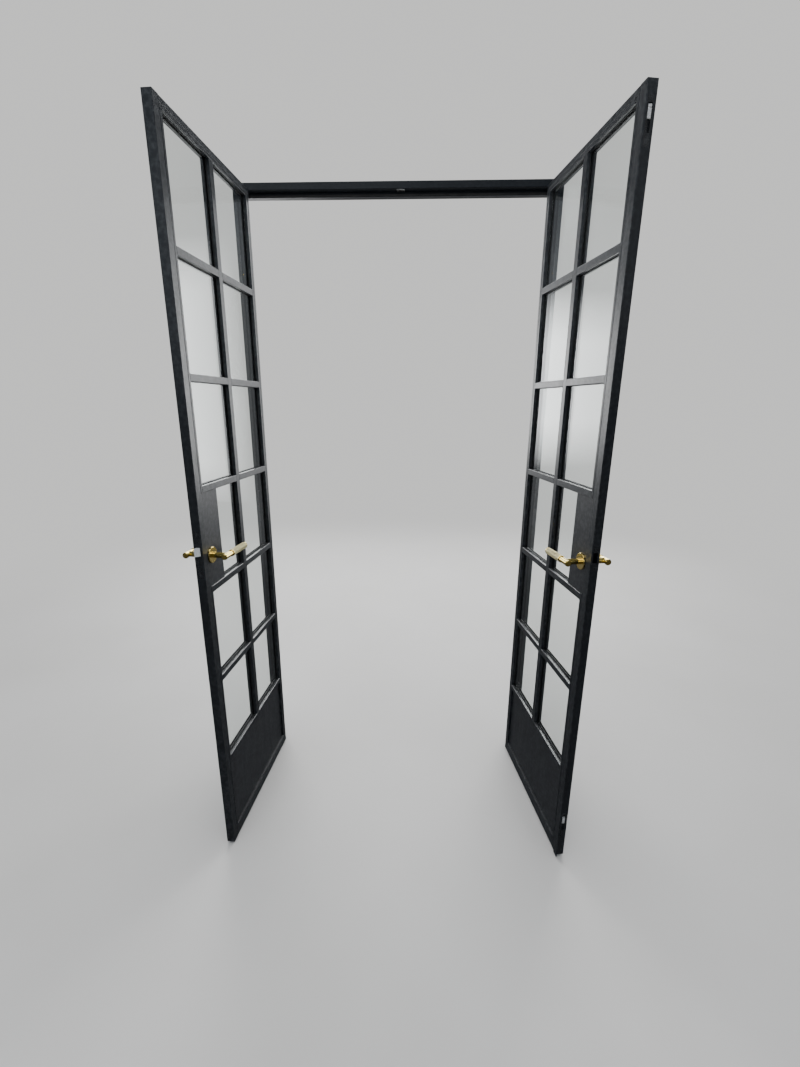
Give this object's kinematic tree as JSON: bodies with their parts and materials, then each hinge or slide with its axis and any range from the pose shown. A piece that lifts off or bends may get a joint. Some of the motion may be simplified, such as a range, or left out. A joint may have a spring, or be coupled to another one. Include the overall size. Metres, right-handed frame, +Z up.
{
  "type": "french doors",
  "caption": "French doors: glazed black metal leaves with glazing bars, kick panels, knurled brass levers, latch and flush bolts, hinged in a rebated metal frame.",
  "frame": {"origin": "middle of the doorway at finished floor level, in the plane of the frame's near-room face", "axes": "+Z up; +X to the right seen from the near room, across the doorway; +Y through the doorway into the far room. The leaves swing into the near room, -Y, and stand open at rest: the left one by 93.8 degrees and the right one by 98.8 degrees"},
  "size_m": [1.2275, 0.5876, 2.133],
  "materials": {
    "black_coat": "satin blue-black powder coat",
    "glass": "clear",
    "rubber": "matte",
    "brass": "polished, knurled grips",
    "satin_steel": "satin",
    "plain_steel": "zinc plated"
  },
  "bodies": {
    "frame": {"left_jamb": "black_coat", "right_jamb": "black_coat", "head_member": "black_coat", "door_stops": "black_coat", "top_bolt_keep": "satin_steel", "stop_seals": "rubber", "left_frame_hinges": "black_coat", "right_frame_hinges": "black_coat", "left_hinge_pins": "plain_steel", "right_hinge_pins": "plain_steel", "hinge_washers": "brass"},
    "left_leaf": {"left_meeting_stile": "black_coat", "left_hinge_stile": "black_coat", "left_top_rail": "black_coat", "left_bottom_rail": "black_coat", "left_glazing_beads": "black_coat", "left_glazing_bars": "black_coat", "left_bar_caps": "black_coat", "left_glass_panes": "glass", "left_glazing_gaskets": "rubber", "left_kick_panel": "black_coat", "left_lock_box": "black_coat", "left_leaf_hinges": "black_coat", "left_roses": "brass", "left_rose_springs": "plain_steel", "lock_face_plate": "black_coat", "lock_case": "plain_steel", "face_plate_screws": "black_coat"},
    "left_levers": {"left_lever_far": "brass", "left_lever_near": "brass", "left_spindle": "plain_steel", "lock_follower": "plain_steel"},
    "latch": {"latch_bolt": "satin_steel"},
    "right_leaf": {"right_meeting_stile": "black_coat", "right_hinge_stile": "black_coat", "right_top_rail": "black_coat", "right_bottom_rail": "black_coat", "right_glazing_beads": "black_coat", "right_glazing_bars": "black_coat", "right_bar_caps": "black_coat", "right_glass_panes": "glass", "right_glazing_gaskets": "rubber", "right_kick_panel": "black_coat", "right_lock_box": "black_coat", "right_leaf_hinges": "black_coat", "right_roses": "brass", "right_rose_springs": "plain_steel", "strike_plate": "black_coat", "strike_screws": "black_coat", "astragal": "black_coat", "top_bolt_plate": "black_coat", "bottom_bolt_plate": "black_coat"},
    "right_levers": {"right_lever_far": "brass", "right_lever_near": "brass", "right_spindle": "plain_steel"},
    "top_flip": {"top_bolt_lever": "satin_steel"},
    "top_rod": {"top_bolt_rod": "satin_steel"},
    "bottom_flip": {"bottom_bolt_lever": "satin_steel"},
    "bottom_rod": {"bottom_bolt_rod": "satin_steel"}
  },
  "joints": [
    {"name": "left_leaf_swing", "type": "hinge", "parent": "frame", "child": "left_leaf", "pos_m": [-0.516, -0.01, 1.058], "axis": [0, 0, -1], "range_deg": [-93.8, 16.2]},
    {"name": "right_leaf_swing", "type": "hinge", "parent": "frame", "child": "right_leaf", "pos_m": [0.516, -0.01, 1.058], "axis": [0, 0, 1], "range_deg": [-98.8, 11.2]},
    {"name": "left_lever_turn", "type": "hinge", "parent": "left_leaf", "child": "left_levers", "pos_m": [-0.52377, -0.47401, 1.0105], "axis": [-0.9978, 0.0663, 0], "range_deg": [0, 40], "stiffness_Nm_per_rad": 1.5, "springref_deg": -22.92},
    {"name": "latch_slide", "type": "slide", "parent": "left_leaf", "child": "latch", "axis": [0.0663, 0.9978, 0], "range_m": [0, 0.0111]},
    {"name": "right_lever_turn", "type": "hinge", "parent": "right_leaf", "child": "right_levers", "pos_m": [0.56418, -0.47156, 1.0105], "axis": [-0.9882, -0.153, 0], "range_deg": [0, 40], "stiffness_Nm_per_rad": 1.5, "springref_deg": -22.92},
    {"name": "top_bolt_flip", "type": "hinge", "parent": "right_leaf", "child": "top_flip", "pos_m": [0.57171, -0.52018, 2.037], "axis": [0.9882, 0.153, 0], "range_deg": [0, 180]},
    {"name": "top_bolt_slide", "type": "slide", "parent": "right_leaf", "child": "top_rod", "axis": [0, 0, 1], "range_m": [0, 0.018]},
    {"name": "bottom_bolt_flip", "type": "hinge", "parent": "right_leaf", "child": "bottom_flip", "pos_m": [0.57171, -0.52018, 0.135], "axis": [0.9882, 0.153, 0], "range_deg": [0, 180]},
    {"name": "bottom_bolt_slide", "type": "slide", "parent": "right_leaf", "child": "bottom_rod", "axis": [0, 0, -1], "range_m": [0, 0.018]}
  ],
  "couplings": [
    {"joint": "latch_slide", "follows": "left_lever_turn", "m_per_rad": 0.015756},
    {"joint": "top_bolt_flip", "follows": "top_bolt_slide", "rad_per_m": 174.5},
    {"joint": "bottom_bolt_flip", "follows": "bottom_bolt_slide", "rad_per_m": 174.5}
  ]
}
